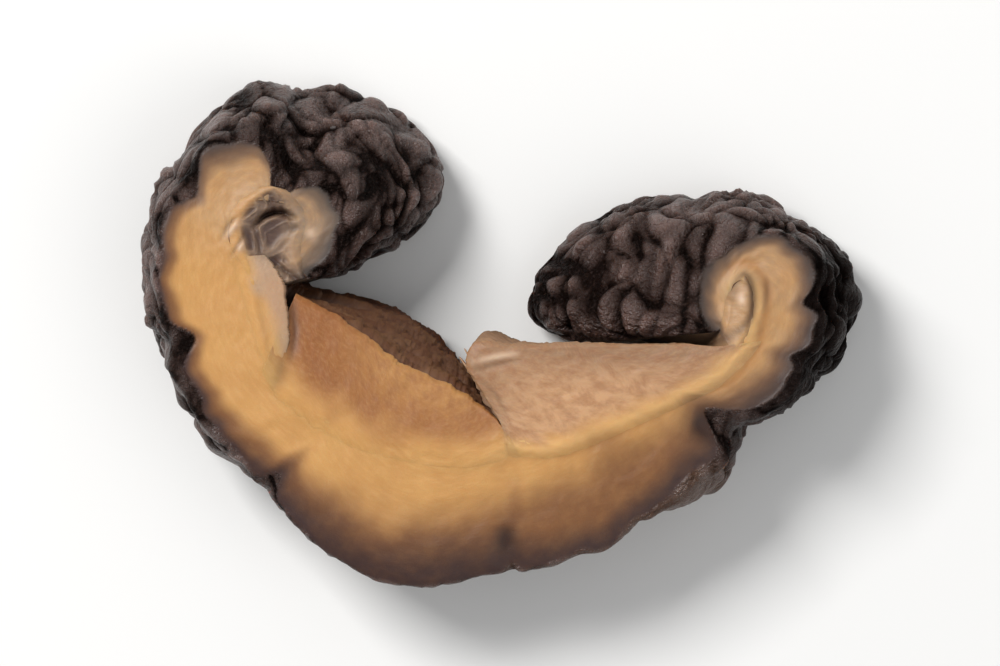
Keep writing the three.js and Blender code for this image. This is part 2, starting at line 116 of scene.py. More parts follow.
# The upper cut face slopes down to the skin between these pair numbers, sags towards its middle, and drops
# towards both tips. The lower one rises there, and stands on three flat spots.
SLOPE_BETWEEN, SLOPE_DEPTH, SLOPE_ACROSS = ((10, 13), (20, 23)), 0.9, 3.2
FACE_SAG = 0.25
HOOK_DROP, ROLL_DROP, HOOK_LIFT, ROLL_LIFT = 0.5, 0.4, 0.8, 1.0
HOOK_ENDS, ROLL_DROPS, ROLL_LIFTS = (0, 5), (25, 29), (24.5, 28.5)
CLEARANCE = 0.35
SPOTS = ((-17.5, 1.1), (-4.3, -9.9), (17.2, 0.0))
SPOT_FLAT, SPOT_EDGE = 2.0, 3.4
STUB_AT, STUB_HEIGHT, STUB_HALF = 17.5, 0.5, 2.0  # where the stem was cut away

# Fine mesh of the body
COLUMNS = 590
WALL_ROWS, UNDER_ROWS, INNER_ROWS, TOP_ROWS, CORNER_ROWS = 82, 22, 12, 36, 4
END_ROUND, END_FLAT = 0.6, 0.05  # length over which the two tips are rounded, but for this share of it
INNER_ROUND = 0.15  # on the two edges beside the gills
MOST_ROUNDING = 0.45  # share of the band's width that a rounded edge may take up

# Wrinkles of the skin: puffed ridges between sharp creases, on uneven lumps, all bent this way and that
SKIN_RELIEF, SKIN_LEVEL = 0.85, 0.4  # height, and the share of it that lies below the smooth skin
WRINKLE_STRETCH = (1.0, 0.6, 0.75)  # along X, Y and Z
BEND_SIZE, RIDGE_SIZE, PUFF_SIZE, LUMP_SIZE = 2.4, 2.0, 0.95, 3
RIDGE_SHARE, PUFF_SHARE, LUMP_SHARE = 0.45, 0.35, 0.25
PUFF_FULLNESS, BORDER_SHARPNESS = 1.8, 5
RIM_SHARE, RIM_BELOW_TOP, RIM_ABOVE_GROUND = 0.3, 0.8, 1.0  # they are lower near the two cut faces
PALE_SKIN_CALM = 0.5  # and lower on the palest skin
# Small pits in the wall: pair number, depth as a share of the thickness, half size along and down, how deep
PITS = ((20.9, 0.16, 1.0, 1.0, 1.3), (13.3, 0.04, 0.7, 0.6, 0.5), (24.3, 0.08, 0.8, 0.8, 0.6))
FLESH_RELIEF = 0.06
FLESH_BROAD, FLESH_FINE = (2.2, 1.2), (0.8, 0.35)  # spacings along and across the band
# A ridge of flesh beside the right gills, lighter with painted highlight, and a groove beyond it, darker
# with the flesh's own brown line and painted shade
RIDGE_BETWEEN = ((16, 18.5), (27, 29))
RIDGE_HEIGHT, RIDGE_AT, RIDGE_HALF = 0.06, 0.4, 0.45
GROOVE_DEPTH, GROOVE_AT, GROOVE_HALF, GROOVE_SWAY = 0.06, 1.15, 0.3, 0.2
TIP_FADES, GROUND_FADES = 0.5, 0.35  # relief fades this near the tips, in pair numbers, and the ground

# At these pair numbers: how far the skin runs in over the upper face, how far the brown beyond it does, how
# much of that is dark, and how golden the flesh is
SKIN_LIP = ((0, 2, 3, 5, 6.5, 8, 10, 10.7, 11.4, 12, 13.5, 19, 20, 21, 22, 24, 30),
            (0.5, 1.2, 1.6, 0.4, 0.25, 0.2, 0.3, 0.7, 0.8, 0.5, 0.15, 0.25, 0.7, 0.9, 0.8, 0.4, 0.3))
BROWN_REACH = ((0, 3, 5, 6, 7, 8, 9, 10, 11, 13, 14, 16, 17, 18, 19, 20, 21, 22, 24, 25, 26, 27, 30),
               (1.5, 1, 1, 1.6, 1.1, 1, 1, 1.1, 1.4, 2.3, 3.6, 4.8, 5, 6, 6, 5, 3, 2.4, 1.6, 1.3, 1, 1.3, 1))
DARK_SHARE = ((0, 12, 14, 16.5, 18, 19.5, 21, 30), (0.45, 0.45, 0.7, 0.65, 0.3, 0.3, 0.6, 0.5))
GOLD = ((0, 3, 5, 7, 8, 9, 20, 21, 22, 24, 25, 30), (0, 0, 0.3, 0.55, 0.75, 1, 1, 0.85, 0.6, 0.5, 0.35, 0.2))
# The skin's tone: 0 is black, painted shadow on the right flank, where the gloss is lowered too; 0.5 as
# usual; and 1 a lighter, redder brown, partly the skin's own colour and partly a painted glow of light
# through the thin skin
SKIN_TONE_SHADE_AND_GLOW = ((0, 13.5, 15, 17.8, 18.6, 20.4, 20.9, 21.6, 22.4, 25, 26, 30),
             (0.5, 0.5, 0.7, 0.7, 1, 1, 0.4, 0.2, 0, 0, 0.5, 0.5))
SKIN_IN_HOLLOWS = 0.8  # share of a hollow that the skin runs into
SKIN_END_UNEVEN, SKIN_END_SOFT = 0.15, 0.13
BROWN_UNEVEN = 0.15
BROWN_FADES, DARK_FADES = (0.5, 1.2), (0.1, 1.25)  # shares of their reach between which they fade out
# Small marks on the upper face: path, half width, how deep and how dark. Most are painted shade in slits,
# holes and creases and along the sides of small ridges; a few are the flesh's and the skin's own dark spots.
DARK_MARKS = (
    ([(-14.3, 6.9), (-13.6, 7.6), (-12.7, 7.75), (-11.9, 7.4)], 0.2, 0.9, 1.0),
    ([(-14.5, 7.4), (-13.6, 8.2), (-12.4, 8.4), (-11.4, 8.0)], 0.45, 0.05, 0.45),
    ([(-14.4, 7.0), (-14.5, 6.4), (-14.0, 5.6), (-13.3, 5.0)], 0.45, 0.12, 0.5),
    ([(-13.3, 5.0), (-12.5, 4.3), (-11.4, 3.5)], 0.17, 0.2, 0.7),
    ([(-16.3, 6.1), (-15.9, 6.9), (-15.3, 7.5)], 0.13, 0.08, 0.4),
    ([(-15.7, 5.1), (-15.25, 5.8), (-14.8, 6.5)], 0.13, 0.08, 0.4),
    ([(-12.2, 6.6), (-11.6, 7.0)], 0.25, 0.15, 0.6),
    ([(-12.15, 3.0), (-11.95, 1.6), (-11.9, 0.2), (-12.2, -1.2)], 0.3, 0.1, 0.65),
    ([(-14.1, 3.2), (-13.9, 1.8), (-13.6, 0.2), (-13.3, -1.2)], 0.25, 0.02, 0.2),
    ([(-12.5, -1.2), (-12.7, -2.0), (-13.0, -2.8)], 0.45, 0.03, 0.3),
    (
        [(14.3, 2.6), (14.6, 3.6), (15.2, 4.0), (15.6, 3.0), (15.5, 1.6), (14.9, 0.75), (13.9, 0.15)],
        0.3, 0.06, 0.8,
    ),
    ([(16.4, 3.83), (16.5, 3.04), (16.35, 2.0)], 0.18, 0.05, 0.45),
    ([(0.85, -11.0), (0.78, -12.0), (0.7, -13.0)], 0.65, 0.25, 1.1),
    ([(11.9, -4.8), (13.0, -5.1), (14.4, -5.4)], 1.0, 0.4, 1.3),
    ([(-13.5, -8.1), (-13.4, -8.4), (-13.2, -8.7)], 0.6, -0.2, 0.95),
    ([(-0.9, -1.6), (0.4, -1.3), (1.6, -1.1)], 0.2, 0.06, 0.3),
    ([(-0.6, -2.4), (0.2, -3.2), (0.9, -4.4)], 0.15, 0.05, 0.25),
)
# Small pale ridges, mostly painted highlights on raised folds and on a nub, with one pale spot: path, half
# width and how high
PALE_MARKS = (
    ([(-16.0, 6.2), (-15.6, 6.8), (-15.2, 7.2)], 0.2, 0.12),
    ([(-15.3, 5.4), (-14.9, 6.0)], 0.2, 0.12),
    ([(-11.0, 6.8), (-10.8, 6.2)], 0.3, 0.05),
    ([(14.9, 2.1), (14.95, 3.0)], 0.25, 0.05),
    ([(-1.0, -1.2), (0.4, -0.9), (1.6, -0.7)], 0.2, 0.07),
)
PATH_SAMPLES, PATH_END_SHARE = 60, 0.3

# A seed for each random field, so that each run grows the same slice
SEEDS = {
    "bends": 11, "ridges": 12, "puffs": 13, "lumps": 15, "skin_end": 21, "groove": 22, "flesh": 23,
    "fine_flesh": 24, "brown": 25, "gills": 7, "faces": 31, "flap": 94, "hook": 61, "roll": 72, "below": 81,
    "strips": 50,
}
NOISE_SIZE, NOISE_SIZE_3D = 256, 64  # cells before a field repeats


def mix(a, b, share):
    return a + (b - a) * share


def smooth_step(low, high, value):
    share = np.clip((value - low) / (high - low), 0, 1)
    return share * share * (3 - 2 * share)


def between(starts, ends, value):
    """1 from one place to another, fading in and out."""
    return smooth_step(*starts, value) * (1 - smooth_step(*ends, value))


def stacked(*values):
    """Values of any shapes that fit together, side by side on a new last axis."""
    return np.stack(np.broadcast_arrays(*values), axis=-1)


def with_height(xy, z):
    return stacked(xy[..., 0], xy[..., 1], z)


def bump(value, middle, half):
    return np.exp(-(((value - middle) / half) ** 2))


def ramp(value):
    return (value + np.hypot(value, GROWTH_SOFTENING)) / 2


def along(points, at):
    """Catmull-Rom through points, at places in the list. Adds a last axis of 2."""
    points = np.asarray(points, float)
    last = len(points) - 1
    i = np.clip(np.floor(at), 0, last - 1).astype(int)
    t = (at - i)[..., None]
    a, b, c, d = (points[np.clip(i + k, 0, last)] for k in (-1, 0, 1, 2))
    return 0.5 * (
        2 * b
        + (c - a) * t
        + (2 * a - 5 * b + 4 * c - d) * t**2
        + (3 * b - a - 3 * c + d) * t**3
    )


def value_noise(x, y, seed):
    """Smooth noise from -1 to 1, about one unit between its highs and lows."""
    table = np.random.default_rng(seed).uniform(-1, 1, (NOISE_SIZE, NOISE_SIZE))
    xi, yi = np.floor(x).astype(int), np.floor(y).astype(int)
    fx, fy = x - xi, y - yi
    fx, fy = fx * fx * (3 - 2 * fx), fy * fy * (3 - 2 * fy)

    def corner(dx, dy):
        return table[(xi + dx) % NOISE_SIZE, (yi + dy) % NOISE_SIZE]

    return mix(mix(corner(0, 0), corner(1, 0), fx), mix(corner(0, 1), corner(1, 1), fx), fy)


def uneven(s, w, spacing, seed):
    """Noise along and across the band, at these spacings."""
    return value_noise(s / spacing[0], w / spacing[1], seed)


def from_table(table, cells):
    """A table's entries at whole-numbered cells, over and over in each direction."""
    return table[tuple(np.moveaxis(cells % len(table), -1, 0))]


def value_noise_3d(points, seed):
    """Smooth noise in space from -1 to 1."""
    table = np.random.default_rng(seed).uniform(-1, 1, (NOISE_SIZE_3D,) * 3)
    cells = np.floor(points).astype(int)
    share = points - cells
    share = share * share * (3 - 2 * share)
    value = 0
    for corner in itertools.product((0, 1), repeat=3):
        weight = np.prod(np.where(corner, share, 1 - share), axis=-1)
        value = value + weight * from_table(table, cells + corner)
    return value


def cell_borders_3d(points, seed):
    """0 on the borders between cells about one unit wide, and up to 1 in their middles."""
    spots = np.random.default_rng(seed).uniform(0, 1, (NOISE_SIZE_3D,) * 3 + (3,))
    cells = np.floor(points).astype(int)
    nearest = np.full(points.shape[:-1], np.inf)
    second = np.full(points.shape[:-1], np.inf)
    for step in itertools.product((-1, 0, 1), repeat=3):
        near = cells + step
        far = np.linalg.norm(near + from_table(spots, near) - points, axis=-1)
        second = np.minimum(second, np.maximum(nearest, far))
        nearest = np.minimum(nearest, far)
    return 1 - np.exp(-BORDER_SHARPNESS * (second - nearest))


# The band


def growth(xy, g):
    """How far points move from the upper cut face to the lower one."""
    rx, ry = xy[..., 0] - g["from"][0], xy[..., 1] - g["from"][1]
    up = mix(*g["up"], smooth_step(*g["up_between"], xy[..., 0]))
    return stacked(g["right"] * ramp(rx) - g["left"] * ramp(-rx), up * ramp(ry) - g["down"] * ramp(-ry))


def at_depth(xy, at, depth):
    """Points of the upper outline moved to a depth from 0, the upper face, to 1, the lower one."""
    near_hook = 1 - smooth_step(*HOOK_FADES, at)
    near_roll = smooth_step(*ROLL_STARTS, at)
    tip = mix(HOOK_TIP_SHARE, 1, smooth_step(0, HOOK_TIP_ENDS, at))
    move = growth(xy, HOOK) * (near_hook * tip)[..., None] + growth(xy, ROLL) * near_roll[..., None]
    move[..., 1] -= MIDDLE_UNDERCUT * (xy[..., 1] - MIDDLE_FROM_Y) * (1 - near_hook - near_roll)
    return xy + (depth * (2 - depth))[..., None] * move


SKIN_SAMPLES = 40  # from one pair to the next
SKIN_PLACES = np.linspace(0, LAST, SKIN_SAMPLES * LAST + 1)
SKIN_STEPS = np.diff(along(BAND[:, 0], SKIN_PLACES), axis=0)
SKIN_LENGTHS = np.concatenate([[0], np.cumsum(np.hypot(SKIN_STEPS[:, 0], SKIN_STEPS[:, 1]))])


def length_at(at):
    """Length along the smooth outline of the skin."""
    return np.interp(at, SKIN_PLACES, SKIN_LENGTHS)


def skin_inset(at, depth):
    """How far the skin stands in from its smooth outline."""
    s = length_at(at)
    inset = np.zeros(np.broadcast(at, depth).shape)
    for upper, lower, deep_up, deep_down, half, _ in CREASES:
        inset += mix(deep_up, deep_down, depth) * bump(s, length_at(mix(upper, lower, depth)), half)
    for place, out, half in FOLDS:
        inset -= out * np.sin(math.pi * depth) * bump(s, length_at(place), half)
    size = mix(1, CALM_SHARE, between(*CALM_BETWEEN, at))
    for height, spacing, down, start in WRINKLES:
        inset += size * height * np.sin(2 * math.pi * (s / spacing + depth * THICKNESS / down) + start)
    return inset * smooth_step(0, SKIN_FADES, at) * smooth_step(0, SKIN_FADES, LAST - at)


def band_at(at, depth):
    """The skin side, the direction across and the width of the band, for arrays of the same shape."""
    at, depth = np.broadcast_arrays(np.asarray(at, float), np.asarray(depth, float))
    skin = at_depth(along(BAND[:, 0], at), at, depth)
    gill = at_depth(along(BAND[:, 1], at), at, depth)
    full = np.linalg.norm(gill - skin, axis=-1)
    across = (gill - skin) / full[..., None]
    inset = skin_inset(at, depth)
    stub = STUB_HEIGHT * bump(length_at(at), length_at(STUB_AT), STUB_HALF)
    return skin + across * inset[..., None], across, full - inset + stub


def crease_hollows(at):
    """How far the creases' hollows run in over the upper face."""
    s = length_at(at)
    return sum(
        reach * bump(s, length_at(upper), HOLLOW_WIDER * half) for upper, _, _, _, half, reach in CREASES
    )


def top_height(at, inward, width, inset=0):
    """Height of the upper face, this far in from the skin."""
    hollow = crease_hollows(at)
    fall = HOLLOW_DEPTH * hollow * np.clip(1 - inward / (1 + hollow), 0, 1) ** 2
    slope = np.clip(1 - (inward + inset) / SLOPE_ACROSS, 0, 1)
    sag = FACE_SAG * np.sin(math.pi * np.clip((inward + inset) / (width + inset), 0, 1))
    drop = HOOK_DROP * (1 - smooth_step(*HOOK_ENDS, at)) + ROLL_DROP * smooth_step(*ROLL_DROPS, at)
    return THICKNESS - between(*SLOPE_BETWEEN, at) * SLOPE_DEPTH * slope**2 - sag - drop - fall


def bottom_height(at, xy):
    nearest = np.min([np.hypot(xy[..., 0] - x, xy[..., 1] - y) for x, y in SPOTS], axis=0)
    lift = HOOK_LIFT * (1 - smooth_step(*HOOK_ENDS, at)) + ROLL_LIFT * smooth_step(*ROLL_LIFTS, at)
    return CLEARANCE * smooth_step(SPOT_FLAT, SPOT_EDGE, nearest) + lift


# The body


def ring_places():
    """One section of the band, from the skin down and on: share of the way across, how deep, how far in."""
    turn = np.radians(90) * np.arange(1, CORNER_ROWS + 1) / (CORNER_ROWS + 1)
    r, q = EDGE_ROUND, INNER_ROUND
    out, down = 1 - np.cos(turn), 1 - np.sin(turn)
    low = THICKNESS
    under, top = np.linspace(0, 1, UNDER_ROWS), np.linspace(1, 0, TOP_ROWS)
    parts = [
        (np.zeros(WALL_ROWS), np.linspace(r, low - r, WALL_ROWS), np.zeros(WALL_ROWS)),
        (np.zeros(CORNER_ROWS), low - r * down, r * out),
        (under, np.full(UNDER_ROWS, low), mix(r, -q, under)),
        (np.ones(CORNER_ROWS), low - q * down[::-1], -q * out[::-1]),
        (np.ones(INNER_ROWS), np.linspace(low - q, q, INNER_ROWS), np.zeros(INNER_ROWS)),
        (np.ones(CORNER_ROWS), q * down, -q * out),
        (top, np.zeros(TOP_ROWS), mix(r, -q, top)),
        (np.zeros(CORNER_ROWS), r * down[::-1], r * out[::-1]),
    ]
    return [np.concatenate(column) for column in zip(*parts)]


def column_places(count):
    """Pair numbers evenly spaced along the middle of the skin's wall."""
    start = band_at(SKIN_PLACES, 0.5)[0]
    lengths = np.concatenate([[0], np.cumsum(np.linalg.norm(np.diff(start, axis=0), axis=1))])
    return np.interp(np.linspace(0, lengths[-1], count), lengths, SKIN_PLACES), lengths[-1]


def grid_normals(points):
    """Unit normals of a grid of points whose second axis closes on itself."""
    down = np.roll(points, -1, axis=1) - np.roll(points, 1, axis=1)
    normals = np.cross(np.gradient(points, axis=0), down)
    return normals / np.linalg.norm(normals, axis=-1, keepdims=True)


def lengths_along(points, axis):
    steps = np.linalg.norm(np.diff(points, axis=axis), axis=-1)
    zero = np.zeros_like(np.take(steps, [0], axis=axis))
    return np.concatenate([zero, np.cumsum(steps, axis=axis)], axis=axis)


def near_path(xy, path, half):
    """Up to 1 on a path of points, falling off beside it and at its ends."""
    points = along(path, np.linspace(0, len(path) - 1, PATH_SAMPLES))
    near = np.all((xy > points.min(0) - 3 * half) & (xy < points.max(0) + 3 * half), axis=-1)
    gaps = np.linalg.norm(xy[near][:, None, :] - points, axis=-1)
    taper = mix(PATH_END_SHARE, 1, np.sin(math.pi * np.linspace(0, 1, len(points))))
    value = np.zeros(near.shape)
    value[near] = taper[gaps.argmin(axis=-1)] * np.exp(-((gaps.min(axis=-1) / half) ** 2))
    return value


def face_marks(xy, shown=1):
    """How high the small marks of the upper face stand, how dark they are, mostly painted shade, and how
    pale, mostly painted highlight.
    """
    height, dark, pale = np.zeros(xy.shape[:-1]), np.zeros(xy.shape[:-1]), np.zeros(xy.shape[:-1])
    for path, half, deep, darkness in DARK_MARKS:
        share = near_path(xy, path, half)
        height -= deep * share
        dark = np.maximum(dark, darkness * share)
    for path, half, high in PALE_MARKS:
        share = near_path(xy, path, half)
        height += high * share
        pale = np.maximum(pale, share)
    return height * shown, {"line": dark * shown, "light": pale * shown}


def skin_wrinkles(points):
    """The skin's wrinkles at points in space, from about 0 to 1."""
    bends = (value_noise_3d(points / BEND_SIZE + away, SEEDS["bends"]) for away in (0, 17, 41))
    bent = points * WRINKLE_STRETCH + stacked(*bends)
    ridges = cell_borders_3d(bent / RIDGE_SIZE, SEEDS["ridges"])
    puffs = np.minimum(1, PUFF_FULLNESS * np.abs(value_noise_3d(bent / PUFF_SIZE, SEEDS["puffs"])))
    lumps = value_noise_3d(points / LUMP_SIZE, SEEDS["lumps"])
    return RIDGE_SHARE * ridges + PUFF_SHARE * puffs + LUMP_SHARE * lumps


def end_of_skin(at, s, inward):
    """How far the skin runs in over the upper face."""
    smooth = np.interp(at, *SKIN_LIP) + SKIN_IN_HOLLOWS * crease_hollows(at)
    return smooth + SKIN_END_UNEVEN * uneven(s, inward, (0.9, 1), SEEDS["skin_end"])


def flesh_masks(at, s, inward, inset):
    """How golden the flesh is, and how brown and how dark near the skin."""
    beyond_skin = np.clip(inward + np.clip(inset, 0, None) - end_of_skin(at, s, inward), 0, None)
    brown = np.interp(at, *BROWN_REACH) * (1 + BROWN_UNEVEN * uneven(s, inward, (3, 3), SEEDS["brown"]))
    dark = brown * np.interp(at, *DARK_SHARE)
    masks = {"gold": np.interp(at, *GOLD)}
    for name, reach, fades in (("brown", brown, BROWN_FADES), ("dark", dark, DARK_FADES)):
        masks[name] = 1 - smooth_step(fades[0] * reach, fades[1] * reach, beyond_skin)
    return masks


def flesh_relief(s, inward):
    broad = uneven(s, inward, FLESH_BROAD, SEEDS["flesh"])
    fine = uneven(s, inward, FLESH_FINE, SEEDS["fine_flesh"])
    return FLESH_RELIEF * (broad + 0.5 * fine)


def pale_ridge(at, from_gills):
    return between(*RIDGE_BETWEEN, at) * bump(from_gills, RIDGE_AT, RIDGE_HALF)


def body_grid():
    """Points of the body, and what its colours need at each of them."""
    share, down, inset = ring_places()
    at, total = column_places(COLUMNS)
    at = at[:, None]
    depth = (down / THICKNESS)[None, :]
    start, across, width = band_at(at + 0 * depth, depth + 0 * at)
    place = np.linspace(0, total, COLUMNS)[:, None]
    tip = np.clip(np.minimum(place, total - place) / END_ROUND, END_FLAT, 1)
    keep = np.sqrt(1 - (1 - tip) ** 2)
    inward = share * width + inset * np.minimum(1, MOST_ROUNDING * width / EDGE_ROUND)
    inward = width / 2 + (inward - width / 2) * keep
    xy = start + across * inward[..., None]
    inset = skin_inset(at, depth)
    z = mix(top_height(at, inward, width, inset), bottom_height(at, xy), depth)
    return with_height(xy, z), at, depth, share, inward, width, inset


def body_relief(points, at, depth, share, inward, width, inset):
    """The points moved along their normals by the wrinkles and relief, and the colour masks there."""
    wall = slice(0, WALL_ROWS)
    s = lengths_along(points[:, wall], 0)
    s = np.concatenate([s, np.repeat(s[:, -1:], points.shape[1] - WALL_ROWS, axis=1)], axis=1)
    top_rows = np.arange(points.shape[1]) >= points.shape[1] - TOP_ROWS - CORNER_ROWS
    s[:, top_rows] = s[:, :1]
    w = lengths_along(points, 1)
    w[:, top_rows] -= w[:, -1:] + EDGE_ROUND / 3  # measured back from where the section closes
    down = depth * THICKNESS

    skin_ends = end_of_skin(at, s, inward)
    on_wall = np.zeros(points.shape[1])
    on_wall[wall] = 1
    over_face = 1 - smooth_step(skin_ends - SKIN_END_SOFT, skin_ends + SKIN_END_SOFT, inward)
    skin = np.maximum(on_wall, over_face)
    inner_wall = (share == 1) & (depth[0] > 0) & (depth[0] < 1)
    skin = np.where(inner_wall, 0, skin)

    rim = smooth_step(0, RIM_ABOVE_GROUND, (1 - depth) * THICKNESS)
    rim = np.minimum(smooth_step(0, RIM_BELOW_TOP, w), rim)
    crest = skin_wrinkles(points)
    calmer = 1 - PALE_SKIN_CALM * smooth_step(0.6, 1, np.interp(at, *SKIN_TONE_SHADE_AND_GLOW))
    height = SKIN_RELIEF * calmer * skin * mix(RIM_SHARE, 1, rim) * (crest - SKIN_LEVEL)
    for pair, deep_at, half_s, half_w, deep in PITS:
        pit = bump(length_at(at), length_at(pair), half_s) * bump(down, deep_at * THICKNESS, half_w)
        height -= deep * on_wall * pit
    from_gills = width - inward
    flat = np.where(depth == 0, 1.0, 0.0)
    ridge = pale_ridge(at, from_gills) * flat
    groove_at = GROOVE_AT + GROOVE_SWAY * uneven(s, inward * 0, (3, 1), SEEDS["groove"])
    groove = between(*RIDGE_BETWEEN, at) * bump(from_gills, groove_at, GROOVE_HALF) * flat
    height += (1 - skin) * (RIDGE_HEIGHT * ridge - GROOVE_DEPTH * groove)
    below_edge = inner_wall[None, :] * smooth_step(0.3, 1, down)
    height += (1 - skin) * flesh_relief(s, inward) * np.maximum(flat, below_edge)
    mark_height, marks = face_marks(points[..., :2], down < EDGE_ROUND)
    height += mark_height

    normals = grid_normals(points)
    column = COLUMNS // 2
    inwards = band_at(at[column], 0.5)[1]
    outward = -np.sign(np.sum(normals[column, WALL_ROWS // 2, :2] * inwards))
    fade = smooth_step(0, TIP_FADES, at) * smooth_step(0, TIP_FADES, LAST - at)
    lying = smooth_step(0, GROUND_FADES, points[..., 2])
    points = points + normals * (outward * height * fade * lying)[..., None]

    masks = flesh_masks(at, s, inward, inset) | marks | {
        "skin": skin,
        "ridge": ridge,
        "groove": groove,
        "gill": inner_wall,
        "crest": crest,
        "skin_tone": np.interp(at, *SKIN_TONE_SHADE_AND_GLOW),
    }
    return points, masks, stacked(s, inward + inset, np.clip(w, 0, None))


# Meshes


def middle_of_box(points):
    return (points.reshape(-1, 3).min(0)[:2] + points.reshape(-1, 3).max(0)[:2]) / 2


def tube_faces(columns, size, first=0):
    """Quads of a grid whose rows close, and a fan on each end from a middle point after the grid."""
    c, r = np.meshgrid(np.arange(columns - 1), np.arange(size), indexing="ij")
    a, b = first + c * size + r, first + c * size + (r + 1) % size
    quads = np.stack([a, b, b + size, a + size], axis=-1).reshape(-1, 4).tolist()
    r = np.arange(size)
    begin, end = first + r, first + (columns - 1) * size + r
    middle = first + columns * size
    fans = [[middle, int(q), int(p)] for p, q in zip(begin, np.roll(begin, -1))]
    fans += [[middle + 1, int(p), int(q)] for p, q in zip(end, np.roll(end, -1))]
    return quads + fans


def with_ends(values):
    """The grid's values in a flat list, followed by the mean of each end ring."""
    flat = values.reshape(-1, *values.shape[2:])
    return np.concatenate([flat, values[:1].mean(axis=1), values[-1:].mean(axis=1)])


def make_object(name, tubes, material):
    """One mesh from closed tubes, each a (points, masks, flow) of a grid. Faces are turned to point out."""
    vertices, faces, first = [], [], 0
    for points, _, _ in tubes:
        columns, size = points.shape[:2]
        flat = with_ends(points)
        part = tube_faces(columns, size, first)
        if tube_volume(points) < 0:
            part = [face[::-1] for face in part]
        vertices.append(flat)
        faces += part
        first += len(flat)
    mesh = bpy.data.meshes.new(name)
    mesh.from_pydata((np.concatenate(vertices) * MM).tolist(), [], faces)
    for key in tubes[0][1]:
        spread_out = (np.broadcast_to(masks[key], points.shape[:2]) for points, masks, _ in tubes)
        values = np.concatenate([with_ends(mask) for mask in spread_out])
        mesh.attributes.new(key, "FLOAT", "POINT").data.foreach_set("value", values.ravel())
    for key, vectors in (("flow", [with_ends(flow) for _, _, flow in tubes]), ("place", vertices)):
        layer = mesh.attributes.new(key, "FLOAT_VECTOR", "POINT")
        layer.data.foreach_set("vector", np.concatenate(vectors).ravel())
    mesh.shade_smooth()
    mesh.materials.append(material)
    piece = bpy.data.objects.new(name, mesh)
    bpy.context.collection.objects.link(piece)
    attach(piece, "root")
    return piece


def tube_volume(points):
    """Signed volume of a tube, by its sections."""
    a, b = points[:-1], points[1:]
    a2, b2 = np.roll(a, -1, axis=1), np.roll(b, -1, axis=1)
    middle = points.reshape(-1, 3).mean(0)

    def volume(p, q, r):
        return np.sum(np.cross(p - middle, q - middle) * (r - middle))

    return volume(a, a2, b2) + volume(a, b2, b)


# Gills


def sheet(upper, lower, masks, flow):
    """A closed sheet from grids of points of its upper and its lower side."""
    def both(values):
        return np.concatenate([values, values[:, ::-1]], axis=1)

    masks = {name: both(np.broadcast_to(values, upper.shape[:2])) for name, values in masks.items()}
    return np.concatenate([upper, lower[:, ::-1]], axis=1), masks, both(flow)


def band_length(at):
    """Length along the band's upper edge, as the body's flow has it."""
    return np.interp(at, body_places, body_lengths)


LEFT_EDGE = [
    (-11.8, 2.9), (-10.6, 2.2), (-9.3, 1.5), (-7.7, 0.5), (-6.3, -0.6), (-5.2, -1.4),
    (-3.8, -2.1), (-2.3, -2.7), (-1.1, -3.5), (0.2, -4.6), (1.0, -5.7),
]
LEFT_LOWER_EDGE = [
    (-13.6, 5.2), (-12.6, 3.6), (-11.2, 2.6), (-9.3, 1.6), (-6.9, 0.0),
    (-5.2, -1.4), (-3.4, -2.3), (-1.6, -3.2), (0.9, -5.5),
]
RIGHT_EDGE = [
    (0.6, -5.1), (-0.4, -3.4), (-1.6, -1.3), (-0.9, 0.0), (1.4, -0.1),
    (4.2, -0.1), (7.5, -0.1), (10.9, -0.1), (13.4, -0.3),
]
# Deeper gills lean further out, and bulge past the upper ones round one place along the edge. The free
# edge droops below the root. The first gill and the pitch are measured down from the upper face.
ON_THE_LEFT = {"tone": 0.0, "lean": (0.4, 0.4), "bulge_by": (1.2, 1.6)}
GILL_GROUPS = [
    ON_THE_LEFT | {
        "name": "upper_left_gills", "root": (11.4, 17.6), "edge": LEFT_EDGE,
        "first": 1.0, "pitch": 0.29, "count": 8, "bulge": (0.5, 0.27), "droop": 0.5,
    },
    ON_THE_LEFT | {
        "name": "lower_left_gills", "root": (8.6, 17.6), "edge": LEFT_LOWER_EDGE,
        "first": 3.25, "pitch": 0.3, "count": 17, "bulge": (0.58, 0.25), "droop": 0.6,
    },
    {
        "name": "right_gills", "root": (17.3, 23.4), "edge": RIGHT_EDGE,
        "first": 1.0, "pitch": 0.33, "count": 22, "bulge": (0.34, 0.18), "droop": 0.2,
        "tone": 0.8, "lean": (0, -0.7), "bulge_by": (0.5, 0.9),
    },
]
BULGE_REACHED = 0.4  # depth at which a bulge is whole, where 1 is the lower face
GILL_STEPS, GILL_ACROSS = 200, 10
GILL_THICKNESS = (0.22, 0.09)  # at the root and at the free edge
GILL_ROOT, LEAST_INWARD = 0.9, 0.3  # how deep its root is, and the share of the band that it stays out of
GILL_WAVE, GILL_WAVES, GILL_TURN = 0.16, (7, 1.5), 0.3  # how far, how often, and the next gill's lead
EDGE_ENDS = 0.12  # share of its length at each end where the free edge keeps to its line
# How uneven the free edge is: how far, how often along it, the next gill's lead, and a number for its seed
RAGGED = ((0.14, 11, 0.4, 0), (0.08, 31, 3.7, 5), (0.06, 95, 7.3, 1))


def edge_ends(t):
    return smooth_step(0, EDGE_ENDS, t) * smooth_step(0, EDGE_ENDS, 1 - t)


def ragged_edge(t, k, seed):
    return edge_ends(t) * sum(
        far * value_noise(often * t, 0 * t + lead * k, seed + more) for far, often, lead, more in RAGGED
    )


def leaf_places(leaf, depth, steps, count):
    """Shares of the way along a gill and out from its root, and the band and the free edge there."""
    t, share = np.linspace(0, 1, steps)[:, None], np.linspace(0, 1, count)
    at = mix(*leaf["root"], t)
    return t, share, at, band_at(at, depth), along(leaf["edge"], t * (len(leaf["edge"]) - 1))


